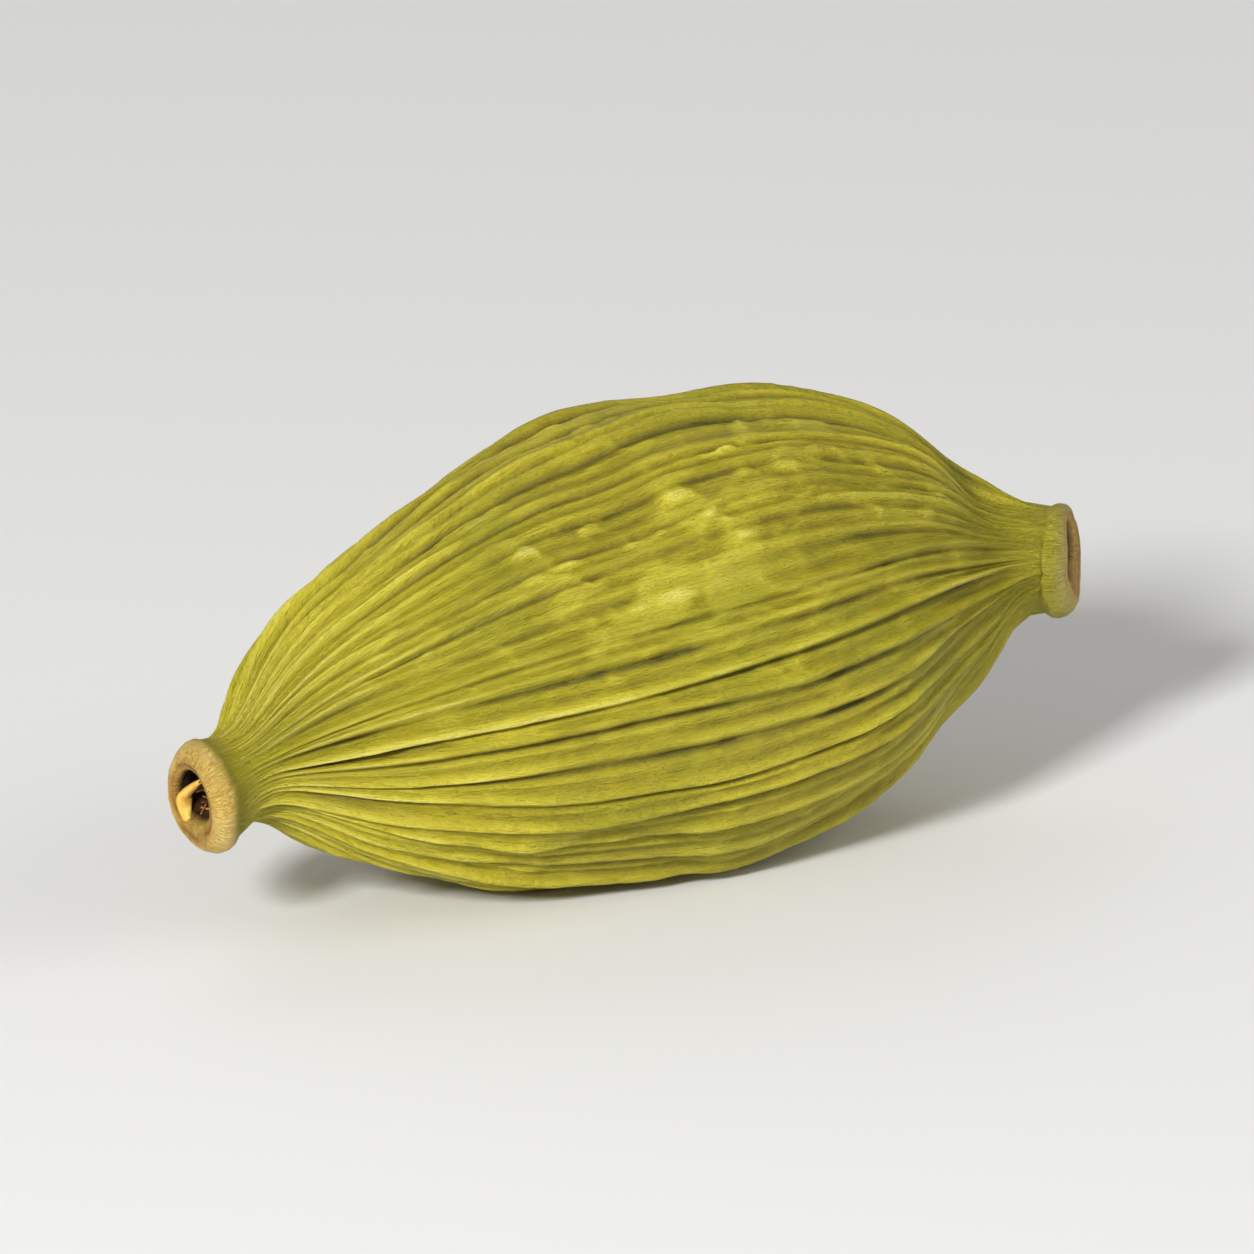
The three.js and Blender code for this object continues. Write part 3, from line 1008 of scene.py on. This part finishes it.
def strand_finish():
    """Torn woody strands: tan to red-brown, streaked along the pod."""
    finish = Finish("torn_strands")
    place = finish.add("ShaderNodeTexCoord").outputs["Object"]
    streaks = finish.noise(finish.stretched(place, (900, 4000, 4000)), 4.0, 0.6)
    colour = finish.ramp(
        streaks,
        (0.3, srgb(80, 42, 10)),
        (0.5, srgb(134, 84, 26)),
        (0.7, srgb(196, 146, 60)),
    )
    finish.feed(finish.shader.inputs["Base Color"], colour)
    finish.shader.inputs["Roughness"].default_value = 0.75
    finish.feed(finish.shader.inputs["Normal"], finish.bump(streaks, 0.00003, 0.6))
    return finish.material


def stub_finish():
    """The curled stub: golden tan wood with darker pores."""
    finish = Finish("stub_wood")
    place = finish.add("ShaderNodeTexCoord").outputs["Object"]
    pores = finish.noise(finish.stretched(place, (3500, 3500, 2200)), 5.0, 0.6)
    colour = finish.ramp(
        pores,
        (0.3, srgb(206, 154, 50)),
        (0.5, srgb(240, 198, 90)),
        (0.7, srgb(254, 226, 140)),
    )
    finish.feed(finish.shader.inputs["Base Color"], colour)
    finish.shader.inputs["Roughness"].default_value = 0.65
    finish.feed(finish.shader.inputs["Normal"], finish.bump(pores, 0.00003, 0.6))
    return finish.material


def dress(piece, material):
    """Gives a piece its finish and its place in the part."""
    piece.data.materials.append(material)
    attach(piece, "root")


def make_stage():
    """A plain pale floor, the lights, each turned to face the pod, and an even surrounding."""
    bpy.ops.mesh.primitive_plane_add(size=1.2, location=(0, 0, 0))
    floor = bpy.context.object
    floor.name = "floor"
    pale = Finish("pale_floor")
    pale.shader.inputs["Base Color"].default_value = FLOOR_COLOUR
    pale.shader.inputs["Roughness"].default_value = 0.7
    floor.data.materials.append(pale.material)

    for name, place, size, power in LIGHTS:
        light = bpy.data.lights.new(name, "AREA")
        light.size = size
        light.energy = power
        lamp = bpy.data.objects.new(name, light)
        lamp.location = place
        lamp.rotation_euler = Vector(place).to_track_quat("Z", "Y").to_euler()
        bpy.context.collection.objects.link(lamp)

    world = bpy.data.worlds.new("surrounding")
    world.use_nodes = True
    background = world.node_tree.nodes["Background"]
    background.inputs["Color"].default_value = SURROUNDING_COLOUR
    background.inputs["Strength"].default_value = SURROUNDING_STRENGTH
    bpy.context.scene.world = world
    bpy.context.scene.view_settings.view_transform = "Standard"


def make_camera():
    """A long lens at the photograph's angle, aimed at the middle of the pod."""
    azimuth = math.radians(CAMERA_AZIMUTH)
    elevation = math.radians(CAMERA_ELEVATION)
    away = Vector(
        (
            math.sin(azimuth) * math.cos(elevation),
            -math.cos(azimuth) * math.cos(elevation),
            math.sin(elevation),
        )
    )
    low, high = (Vector(corner) for corner in solid_box)
    lens = bpy.data.cameras.new("camera")
    lens.sensor_width = SENSOR_WIDTH
    lens.lens = SENSOR_WIDTH * CAMERA_DISTANCE / PICTURE_WIDTH
    lens.clip_start = 0.01
    camera = bpy.data.objects.new("camera", lens)
    camera.location = (low + high) / 2 + away * CAMERA_DISTANCE
    roll = Quaternion((0, 0, 1), -math.radians(CAMERA_ROLL))
    camera.rotation_mode = "QUATERNION"
    camera.rotation_quaternion = away.to_track_quat("Z", "Y") @ roll
    bpy.context.collection.objects.link(camera)
    bpy.context.scene.camera = camera


make_stage()
make_camera()

husk, shift = make_husk()
dress(husk, husk_finish())
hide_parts("pod")

strands = strand_finish()
dress(make_torn_strands("stalk_strands", STALK_END, 26, 5, shift), strands)
dress(make_torn_strands("flower_strands", FLOWER_END, 30, 8, shift), strands)
dress(make_curled_stub(shift), stub_finish())
